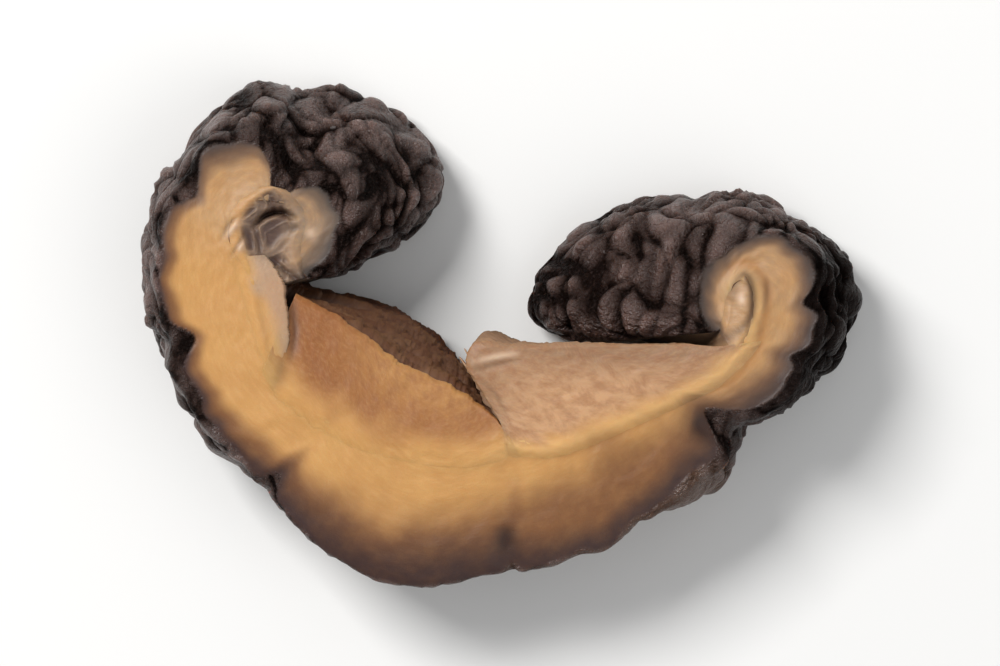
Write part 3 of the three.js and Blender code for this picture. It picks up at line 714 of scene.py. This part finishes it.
def gill_tube(group, k, seed):
    """One gill: a thin wavy plate from its root in the flesh to its ragged free edge."""
    depth = (group["first"] + k * group["pitch"]) / THICKNESS
    t, share, at, (start, across, width), tip = leaf_places(group, depth, GILL_STEPS, GILL_ACROSS)
    root = start + across * np.maximum(LEAST_INWARD * width, width - GILL_ROOT)[..., None]
    bulge = smooth_step(0, BULGE_REACHED, depth) * bump(t, *group["bulge"])
    move = depth * np.array(group["lean"]) + bulge[..., None] * np.array(group["bulge_by"])
    tip = tip + edge_ends(t)[..., None] * move
    xy = root + (tip - root) * share[:, None] + (ragged_edge(t, k, seed) * share**4)[..., None]
    far = np.linalg.norm(tip - root, axis=-1) * share
    level = mix(top_height(at, width, width), bottom_height(at, xy), depth)
    waves = value_noise(GILL_WAVES[0] * t + GILL_TURN * k, GILL_WAVES[1] * share, seed + 2)
    level = level + share * (GILL_WAVE * waves - group["droop"])
    thick = mix(*GILL_THICKNESS, share) * np.where(share == 1, 0.5, 1)
    upper, lower = (with_height(xy, level + side * thick / 2) for side in (1, -1))
    masks = {"tone": group["tone"], "rim": share, "deep": depth}
    return sheet(upper, lower, masks, stacked(band_length(at), far, 3.0 * k))


# The uppermost gill of each group was cut level with the flesh. Places on it are the shares of the way along
# its edge, t, and out from its root.


def golden_edge(t, share):
    return smooth_step(0.3, 1, share) * between((0.15, 0.45), (0.7, 0.92), t)


# Duller towards the free edge, the gills' own colour, and darker towards the roll, painted shade cast by it
def dull_and_shaded_edge(t, share):
    return np.clip(smooth_step(0.3, 1, share) + 0.65 * smooth_step(0.45, 0.95, t), 0, 1)


def nowhere(t, share):
    return 0


def on_flap(t, share):
    inner_end = share + 0.06 * value_noise(9 * t, 0 * share, SEEDS["flap"])
    return between((0, 0.3), (0.75, 1), t) * smooth_step(0.45, 0.75, inner_end)


FLAP_EDGE = [(-13.6, 5.2), (-12.7, 3.9), (-12.3, 2.2), (-12.2, 0.4), (-12.5, -1.4), (-12.9, -2.4)]
WHOLE_GILL = {"thickness": (0.7, 0.2), "folded": 0.0, "pale": nowhere}
# The thickness is at the root and at the free edge. The last is the pale flap, a torn one that stands
# between the flesh and the left gills.
GILL_FACES = [
    WHOLE_GILL | {
        "root": (11.4, 17.6), "edge": LEFT_EDGE,
        "droop": 0.55, "tone": 0.0, "edging": golden_edge, "softness": 2.2,
    },
    WHOLE_GILL | {
        "root": (17.3, 23.4), "edge": RIGHT_EDGE,
        "droop": 0.3, "tone": 1.0, "edging": dull_and_shaded_edge, "softness": 1.0,
    },
    {
        "root": (8.5, 11.9), "edge": FLAP_EDGE, "droop": 0.15, "tone": 1.0, "edging": nowhere,
        "softness": 0.9, "thickness": (2.5, 4.2), "folded": 1.0, "pale": on_flap,
    },
]
FACE_STEPS, FACE_ACROSS = 240, 60
FACE_LAP = 1.5  # how far it runs back over the band
FACE_PROUD, FACE_DIVE, FACE_DIVES_FROM = 0.07, 0.14, 0.2  # from just over the flesh there to under it
FACE_DROOPS_FROM, FACE_WHOLE = 0.25, 3  # past the band, and how wide a face is that droops in full
FACE_TURNED_DOWN, FACE_TURNS_FROM = 0.2, 0.93  # its free edge, from this share of the way out
# Relief: height, spacings along and across the band, and a number for its seed
FACE_RELIEF = ((0.03, (1.3, 0.5), 2), (0.012, (0.4, 0.2), 3))


def face_tube(face, seed):
    """The face of one group of gills, from under the cut face to its free edge."""
    t, share, at, (start, across, width), tip = leaf_places(face, 0, FACE_STEPS, FACE_ACROSS)
    root = start + across * (width - FACE_LAP)[..., None]
    xy = root + (tip - root) * share[:, None] + (0.5 * ragged_edge(t, 0, seed) * share**8)[..., None]
    length = np.linalg.norm(tip - root, axis=-1)
    far = length * share
    beyond = far - FACE_LAP
    free = np.maximum(length - FACE_LAP, 0.01)
    out = np.clip((beyond - FACE_DROOPS_FROM) / np.maximum(free - FACE_DROOPS_FROM, 0.01), 0, 1)
    s, inward, inset = band_length(at), width + beyond, skin_inset(at, 0)
    level = top_height(at, width + np.minimum(beyond, 0), width, inset)
    level = level + FACE_PROUD - FACE_DIVE * np.clip(-beyond - FACE_DIVES_FROM, 0, None) ** 2
    level = level + flesh_relief(s, inward) * (1 - smooth_step(-0.3, 0.3, beyond))
    droop = face["droop"] * np.minimum(1, free / FACE_WHOLE) * smooth_step(0, 1, out) ** 1.5
    level = level - droop - FACE_TURNED_DOWN * smooth_step(FACE_TURNS_FROM, 1, out)
    relief = sum(high * uneven(s, far, spacing, seed + more) for high, spacing, more in FACE_RELIEF)
    ridge = pale_ridge(at, -beyond)
    mark_height, marks = face_marks(xy)
    level = level + relief * smooth_step(-0.2, 0.8, beyond) + RIDGE_HEIGHT * ridge + mark_height
    masks = flesh_masks(at, s, inward, inset) | marks | {
        "ridge": ridge,
        "face": smooth_step(-0.5, face["softness"], beyond + 0.5 * uneven(s, far, (1.5, 1.5), seed + 4)),
        "tone": face["tone"],
        "edge": face["edging"](t, share),
        "folded": face["folded"],
        "pale": face["pale"](t, share),
    }
    lower = with_height(xy, level - mix(*face["thickness"], share))
    return sheet(with_height(xy, level), lower, masks, stacked(s, inward, 0))


# Crumpled gills fill the inside of the hook and of the roll


def crumple(xy, size, seed):
    """Folded ridges from 0 to 1, about as far apart as size."""
    x, y = xy[..., 0] / size, xy[..., 1] / size
    bent_x = x + 0.9 * value_noise(x / 1.7, y / 1.7, seed)
    bent_y = y + 0.9 * value_noise(x / 1.7 + 9, y / 1.7 + 9, seed + 1)
    folds = 1 - np.abs(value_noise(bent_x, bent_y, seed + 2))
    creases = 1 - np.abs(value_noise(2.3 * bent_x, 2.3 * bent_y, seed + 3))
    return 0.6 * folds**2 + 0.4 * creases**2


# How far each filling lies below the cut face, its tone, and how far it looks like the flesh. The tone is
# lighter on the tops of the folds and darker in their creases, painted light and shade. The one in the hook
# also has painted shade round a path, where it lies deeper, and turns into the flesh of the hook's tip.
HOOK_MIDDLE = [(-13.6, 7.2), (-13.3, 6.4), (-13.2, 5.6)]


def hook_surface(xy, share):
    folds = crumple(xy, 0.8, SEEDS["hook"])
    middle = near_path(xy, HOOK_MIDDLE, 1.2)
    tone = 0.34 + 0.7 * (folds - 0.5) - 0.3 * middle
    return 0.2 * (1 - folds) + 0.14 * middle, tone, 0.8 * smooth_step(0.55, 1, share)


def roll_surface(xy, share):
    folds = crumple(xy, 0.6, SEEDS["roll"])
    return 0.03 * (1 - folds), 0.8 + 0.2 * (folds - 0.5), 1


# Each filling lies between two stretches of the band's inner side. It dives under the flesh on both, and
# stands a little proud in between.
FILLINGS = [
    {
        "one": (9.5, 4.2), "other": (0.05, 4.2),
        "lap": 1.1, "dive": 0.45, "proud": (0.08, 0.08), "surface": hook_surface,
    },
    {
        "one": (22.7, 26.2), "other": (30, 26.2),
        "lap": 0.5, "dive": 0.25, "proud": (0.09, 0.18), "surface": roll_surface,
    },
]
MOST_LAP = 0.4  # share of the band's width
FILLING_STEPS, FILLING_ACROSS, FILLING_DOWN = 130, 110, 14
FILLING_LIFT, FILLING_LOW_FOLDS = 1.0, 0.5  # how far it ends above the lower face, and the folds there
# Painted shade: the fillings darken down towards the lower face, deep inside the hook and the roll
FILLING_DEEP_SHADE = 0.7  # how dark it is there


def over_flesh(at, width, beyond):
    """Height and colour masks of the flesh's upper face, continued flat beyond its inner edge."""
    inward = width + np.minimum(beyond, 0)
    s, inset = band_length(at), skin_inset(at, 0)
    height = top_height(at, inward, width, inset) + flesh_relief(s, inward)
    return height, flesh_masks(at, s, inward, inset)


def filling_tube(filling):
    """Crumpled gills from the open end of a hook or roll to its closed one."""
    t = np.linspace(0, 1, FILLING_STEPS)[:, None]
    flat, down = np.linspace(0, 1, FILLING_ACROSS), np.linspace(0, 1, FILLING_DOWN + 2)[1:-1]
    share = np.concatenate([flat, np.ones(FILLING_DOWN), flat[::-1], np.zeros(FILLING_DOWN)])
    depth = np.concatenate([0 * flat, down, 0 * flat + 1, down[::-1]])
    places, starts, widths, laps = [], [], [], []
    for side in ("one", "other"):
        at = mix(*filling[side], t)
        start, across, width = band_at(at, depth)
        lap = np.minimum(filling["lap"], MOST_LAP * width)
        places.append(at)
        starts.append(start + across * (width - lap)[..., None])
        widths.append(width)
        laps.append(lap)
    xy = mix(*starts, share[..., None])
    span = np.linalg.norm(starts[1] - starts[0], axis=-1)
    beyond = [span * share - laps[0], span * (1 - share) - laps[1]]
    (one, one_masks), (other, other_masks) = (over_flesh(*side) for side in zip(places, widths, beyond))
    towards_other = smooth_step(0.2, 0.8, share)
    free = smooth_step(0, 0.7, np.minimum(*beyond))
    dive = filling["dive"] * np.maximum(*(np.clip(-b / lap, 0, 1) for b, lap in zip(beyond, laps))) ** 2
    below, tone, fleshy = filling["surface"](xy, share)
    mark_height, marks = face_marks(xy)
    high = mix(one, other, towards_other) + mix(*filling["proud"], share)
    high = high - dive - below * free + mark_height
    low = FILLING_LIFT + FILLING_LOW_FOLDS * (1 - crumple(xy, 1.2, SEEDS["below"]))
    masks = {name: mix(one_masks[name], other_masks[name], towards_other) for name in one_masks}
    masks |= marks | {
        "face": np.maximum(free * (1 - fleshy), smooth_step(0, 0.1, depth)),
        "folded": 1,
        "tone": tone,
        "deep": FILLING_DEEP_SHADE * depth,
    }
    points = with_height(xy, mix(high, low, depth))
    return points, masks, points


# Strips of torn gill: path, width, height of the top, how pale
STRIPS = [
    ([(-2.0, -0.9), (-1.2, -2.0), (-0.4, -3.1), (0.4, -4.4)], 0.2, 8.5, 0.9),
    ([(-1.7, -0.4), (-1.0, -1.6), (-0.2, -2.7), (0.5, -3.9)], 0.2, 8.6, 1.1),
]
STRIP_BOTTOM = 6.5
STRIP_STEPS, STRIP_AROUND = 70, 20
STRIP_SQUARENESS = 0.6  # of its section: 1 is round and 0 square
STRIP_TAPER = 0.5  # how far the top sinks at both ends


def strip_tube(path, width, top, tone, seed):
    """A narrow upright strip along a path of points, tapered at both ends, with an uneven rounded top."""
    t = np.linspace(0, 1, STRIP_STEPS)[:, None]
    line = along(path, t * (len(path) - 1))
    heading = np.gradient(line, axis=0)
    heading /= np.linalg.norm(heading, axis=-1, keepdims=True)
    turn = np.linspace(0, 2 * math.pi, STRIP_AROUND, endpoint=False)
    body = np.sqrt(np.clip(np.sin(math.pi * t), 0.0025, 1))
    sideways, upright = (
        np.sign(wave) * np.abs(wave) ** STRIP_SQUARENESS for wave in (np.cos(turn), np.sin(turn))
    )
    half = 0.5 * width * body * (1 + 0.35 * value_noise(8 * t, 0 * t, seed))
    rise = top - STRIP_TAPER * (1 - body) + 0.12 * value_noise(6 * t, 0 * t + 2, seed)
    xy = line + stacked(-heading[..., 1], heading[..., 0]) * (half * sideways)[..., None]
    z = mix(STRIP_BOTTOM, rise, 0.5 + 0.5 * upright)
    return with_height(xy, z), {"tone": tone}, stacked(6 * t, z, half * sideways)


# Materials


def node_maker(material):
    tree = material.node_tree

    def make(kind, inputs=None, **settings):
        """A node. An input is a number, a socket or the name of a mask."""
        node = tree.nodes.new(kind)
        for key, value in settings.items():
            setattr(node, key, value)
        for key, value in (inputs or {}).items():
            if isinstance(value, str):
                value = make("ShaderNodeAttribute", attribute_name=value).outputs["Fac"]
            if isinstance(value, bpy.types.NodeSocket):
                tree.links.new(value, node.inputs[key])
            else:
                node.inputs[key].default_value = value
        return node

    return make


def blank_material(name):
    material = bpy.data.materials.new(name)
    material.use_nodes = True
    material.node_tree.nodes.clear()
    return material, node_maker(material)


def linear(colour):
    """A colour as it looks on a screen, 0 to 255, in the linear values that a shader takes."""
    shares = [c / 255 for c in colour]
    return [c / 12.92 if c <= 0.0404 else ((c + 0.055) / 1.055) ** 2.4 for c in shares] + [1.0]


def blend(make, factor, a, b):
    """One colour or socket over another, where the factor says."""
    a, b = (linear(colour) if isinstance(colour, tuple) else colour for colour in (a, b))
    return make("ShaderNodeMix", {0: factor, 6: a, 7: b}, data_type="RGBA").outputs[2]


def layered(make, colour, layers):
    """Colours laid over one another, each where its mask says."""
    for factor, over in layers:
        colour = blend(make, factor, colour, over)
    return colour


def vector(make, name):
    return make("ShaderNodeAttribute", attribute_name=name).outputs["Vector"]


def noise(make, place, scale, detail=3.0, roughness=0.5):
    """Noise of one scale, or stretched along three directions."""
    if isinstance(scale, tuple):
        place = make("ShaderNodeMapping", {"Vector": place, "Scale": scale}).outputs["Vector"]
        scale = 1.0
    inputs = {"Vector": place, "Scale": scale, "Detail": detail, "Roughness": roughness}
    return make("ShaderNodeTexNoise", inputs).outputs["Fac"]


def spread(make, value, low, high, to_low=0.0, to_high=1.0):
    inputs = {"Value": value, "From Min": low, "From Max": high, "To Min": to_low, "To Max": to_high}
    return make("ShaderNodeMapRange", inputs).outputs["Result"]


def maths(make, operation, *values, **settings):
    return make("ShaderNodeMath", dict(enumerate(values)), operation=operation, **settings).outputs[0]


def raised(make, height, strength, distance, **below):
    """The normals of a bumpy surface."""
    inputs = {"Height": height, "Strength": strength, "Distance": distance, **below}
    return make("ShaderNodeBump", inputs).outputs["Normal"]


def finish_material(make, colour, roughness, normal, subsurface, gloss=0.35):
    shader = make("ShaderNodeBsdfPrincipled", {
        "Base Color": colour,
        "Roughness": roughness,
        "Normal": normal,
        "Subsurface Weight": subsurface,
        "Subsurface Radius": (1.0, 0.45, 0.2),
        "Subsurface Scale": 0.0012,
        "Specular IOR Level": gloss,
    })
    make("ShaderNodeOutputMaterial", {"Surface": shader.outputs["BSDF"]})


def flesh_colour(make, fibres, grains, blotches, broad):
    """The cut flesh, from golden to pale, and browner and darker towards the skin."""
    flesh = blend(make, "gold", (152, 128, 106), (197, 147, 86))
    flesh = layered(make, flesh, [
        (spread(make, broad, 0.35, 0.65, 0, 0.45), (180, 128, 72)),
        (spread(make, fibres, 0.45, 0.75, 0, 0.3), (214, 168, 108)),
        (spread(make, grains, 0.5, 0.8, 0, 0.12), (150, 104, 60)),
        # Painted highlight on the ridge; the groove's darker colour is the flesh's own brown line and
        # painted shade
        (maths(make, "MULTIPLY", "ridge", 0.65), (218, 172, 112)),
        (maths(make, "MULTIPLY", "groove", 0.6), (162, 110, 58)),
    ])
    wavering = spread(make, blotches, 0.3, 0.7, 0.88, 1.05)
    brown = blend(make, "gold", (108, 88, 72), (122, 80, 46))
    flesh = blend(make, maths(make, "MULTIPLY", "brown", wavering), flesh, brown)
    dark = blend(make, "gold", (70, 60, 54), (60, 40, 36))
    return blend(make, maths(make, "MULTIPLY", "dark", wavering), flesh, dark)


def cut_gill_colour(make, blotches, fine):
    """The faces of the gills, smooth or crumpled."""
    gill = blend(make, "tone", (144, 90, 46), (194, 150, 110))
    edge = blend(make, "tone", (182, 132, 76), (130, 100, 76))
    gill = blend(make, maths(make, "MULTIPLY", "edge", 0.8), gill, edge)
    gill = layered(make, gill, [
        (spread(make, blotches, 0.4, 0.65, 0, 0.5), (138, 88, 54)),
        (spread(make, fine, 0.45, 0.75, 0, 0.25), (200, 154, 104)),
        ("gill", (120, 78, 48)),
    ])
    folded = blend(make, "tone", (82, 62, 54), (176, 148, 122))
    folded = layered(make, folded, [
        (spread(make, fine, 0.45, 0.75, 0, 0.3), (120, 92, 74)),
        ("pale", (176, 140, 110)),
    ])
    return blend(make, "folded", gill, folded)


def skin_colour(make, place):
    """The wrinkled skin: painted shade makes it near black in its creases, and painted highlight lightens
    its crests.
    """
    skin = blend(make, spread(make, "crest", 0.2, 0.75), (12, 6, 4), (94, 70, 62))
    return layered(make, skin, [
        (spread(make, noise(make, place, 0.6, 4.0, 0.6), 0.4, 0.7, 0, 0.5), (28, 17, 14)),
        (spread(make, noise(make, place, 5.0, 2.0), 0.55, 0.8, 0, 0.25), (96, 76, 70)),
        # A lighter, redder brown, partly own colour and partly painted glow, and near black painted shadow
        # on the right flank
        (spread(make, "skin_tone", 0.5, 1, 0, 0.7), (92, 68, 54)),
        (spread(make, "skin_tone", 0.5, 0, 0, 0.9), (9, 6, 5)),
    ])


def body_material():
    material, make = blank_material("shiitake_body")
    flow, place = vector(make, "flow"), vector(make, "place")
    broad = noise(make, flow, 0.35)
    blotches = noise(make, flow, (0.8, 1.1, 1.0), 3.0, 0.6)
    fibres = noise(make, flow, (0.9, 3.5, 1.0), 4.0, 0.6)
    grains = noise(make, flow, 9.0, 2.0)
    fine = noise(make, flow, (2.2, 5.0, 3.0), 4.0, 0.65)

    flesh = flesh_colour(make, fibres, grains, blotches, broad)
    flesh = layered(make, flesh, [
        (maths(make, "MAXIMUM", "face", "gill"), cut_gill_colour(make, blotches, fine)),
        # Painted shade deep inside the crumpled fillings
        ("deep", (44, 30, 26)),
        # Painted highlights of the pale marks
        ("light", (202, 170, 142)),
        # Painted shade of the dark marks
        ("line", (56, 34, 24)),
    ])
    colour = blend(make, "skin", flesh, skin_colour(make, place))

    leather = noise(make, place, 1.4, 4.0, 0.55)
    creased = maths(make, "ABSOLUTE", maths(make, "SUBTRACT", leather, 0.5))
    skin_height = maths(make, "MULTIPLY", spread(make, creased, 0, 0.2), "skin")
    fibre_height, grain_height = maths(make, "MULTIPLY", fibres, 0.6), maths(make, "MULTIPLY", grains, 0.4)
    normal = raised(make, maths(make, "ADD", fibre_height, grain_height), 0.4, 0.00008)
    normal = raised(make, skin_height, 0.8, 0.00025, Normal=normal)
    crest_gloss = spread(make, "crest", 0.25, 0.8, 0.03, 0.65)
    skin_gloss = maths(make, "MULTIPLY", crest_gloss, spread(make, "skin_tone", 0, 0.5, 0.1, 1))
    gloss = make("ShaderNodeMix", {"Factor": "skin", "A": 0.35, "B": skin_gloss}).outputs["Result"]
    finish_material(make, colour, spread(make, "skin", 0, 1, 0.5, 0.3), normal, 0.2, gloss)
    return material


def gill_material():
    material, make = blank_material("shiitake_gills")
    flow = vector(make, "flow")
    streaks = noise(make, flow, (2.6, 0.3, 1.0), 5.0, 0.65)
    broad = noise(make, flow, (0.5, 0.5, 1.0))
    rim = maths(make, "POWER", "rim", 4.0)

    colour = blend(make, "tone", (104, 68, 46), (180, 142, 112))
    colour = layered(make, colour, [
        (maths(make, "SUBTRACT", "tone", 1.0, use_clamp=True), (212, 182, 154)),
        (spread(make, streaks, 0.4, 0.72, 0, 0.4), (120, 78, 50)),
        (spread(make, broad, 0.4, 0.7, 0, 0.25), (196, 152, 112)),
        (maths(make, "MULTIPLY", rim, spread(make, "tone", 0, 1, 0.6, 0.2)), (74, 42, 26)),
        # Painted shade: the deeper gills, under the ones above, are darker
        (spread(make, "deep", 0.1, 0.6, 0, 0.8), (52, 32, 24)),
    ])
    finish_material(make, colour, 0.5, raised(make, streaks, 0.5, 0.0001), 0.15)
    return material


def floor_material():
    material, make = blank_material("pale_floor")
    shader = make("ShaderNodeBsdfPrincipled", {"Base Color": (0.82, 0.81, 0.79, 1), "Roughness": 0.6})
    make("ShaderNodeOutputMaterial", {"Surface": shader.outputs["BSDF"]})
    return material


# The slice

grid = body_grid()
middle = np.append(middle_of_box(grid[0]), 0)
body_tube = body_relief(*grid)
body_places, body_lengths = grid[1][:, 0], body_tube[2][:, -1, 0]


def add_piece(name, tubes, material):
    return make_object(name, [(points - middle, masks, flow) for points, masks, flow in tubes], material)


flesh_look, gill_look = body_material(), gill_material()
body = add_piece("slice_body", [body_tube], flesh_look)
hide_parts(NODE)
gill_faces = [face_tube(face, SEEDS["faces"] + 10 * k) for k, face in enumerate(GILL_FACES)]
add_piece("cut_gills", gill_faces, flesh_look)
for group in GILL_GROUPS:
    gills = [gill_tube(group, k, SEEDS["gills"]) for k in range(group["count"])]
    add_piece(group["name"], gills, gill_look)
add_piece("crumpled_gills", [filling_tube(filling) for filling in FILLINGS], flesh_look)
strips = [strip_tube(*strip, SEEDS["strips"] + k) for k, strip in enumerate(STRIPS)]
add_piece("torn_gills", strips, gill_look)

# Floor, light and camera

FLOOR_SIZE = 3.0
LENS = 250
SENSOR = 36
SLICE_SHARE_OF_FRAME = 0.72


def make_floor():
    mesh = bpy.data.meshes.new("floor")
    half = FLOOR_SIZE / 2
    corners = [(-half, -half, 0), (half, -half, 0), (half, half, 0), (-half, half, 0)]
    mesh.from_pydata(corners, [], [(0, 1, 2, 3)])
    mesh.materials.append(floor_material())
    floor = bpy.data.objects.new("floor", mesh)
    bpy.context.collection.objects.link(floor)


def make_light(name, place, size, power):
    """A square area light aimed at the slice."""
    light = bpy.data.lights.new(name, "AREA")
    light.size, light.energy = size, power
    lamp = bpy.data.objects.new(name, light)
    lamp.location = place
    from_middle = lamp.location.normalized()
    lamp.rotation_mode = "QUATERNION"
    lamp.rotation_quaternion = from_middle.to_track_quat("Z", "Y")
    bpy.context.collection.objects.link(lamp)


def make_world():
    world = bpy.data.worlds.new("studio")
    world.use_nodes = True
    background = world.node_tree.nodes["Background"]
    background.inputs["Color"].default_value = (0.95, 0.97, 1.0, 1.0)
    background.inputs["Strength"].default_value = 0.4
    bpy.context.scene.world = world


def make_camera():
    """Straight above the slice, as the photograph looks down on the dish."""
    camera = bpy.data.cameras.new("camera")
    camera.lens, camera.sensor_width = LENS, SENSOR
    low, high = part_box(NODE)
    seen = (high[0] - low[0]) / SLICE_SHARE_OF_FRAME
    eye = bpy.data.objects.new("camera", camera)
    eye.location = (0, 0, seen * LENS / SENSOR + high[2])
    bpy.context.collection.objects.link(eye)
    bpy.context.scene.camera = eye


make_floor()
make_world()
make_light("key", (-0.28, 0.26, 0.42), 0.22, 3.2)
make_light("fill", (0.35, -0.2, 0.4), 0.5, 0.8)
make_camera()
bpy.context.scene.view_settings.view_transform = "Standard"
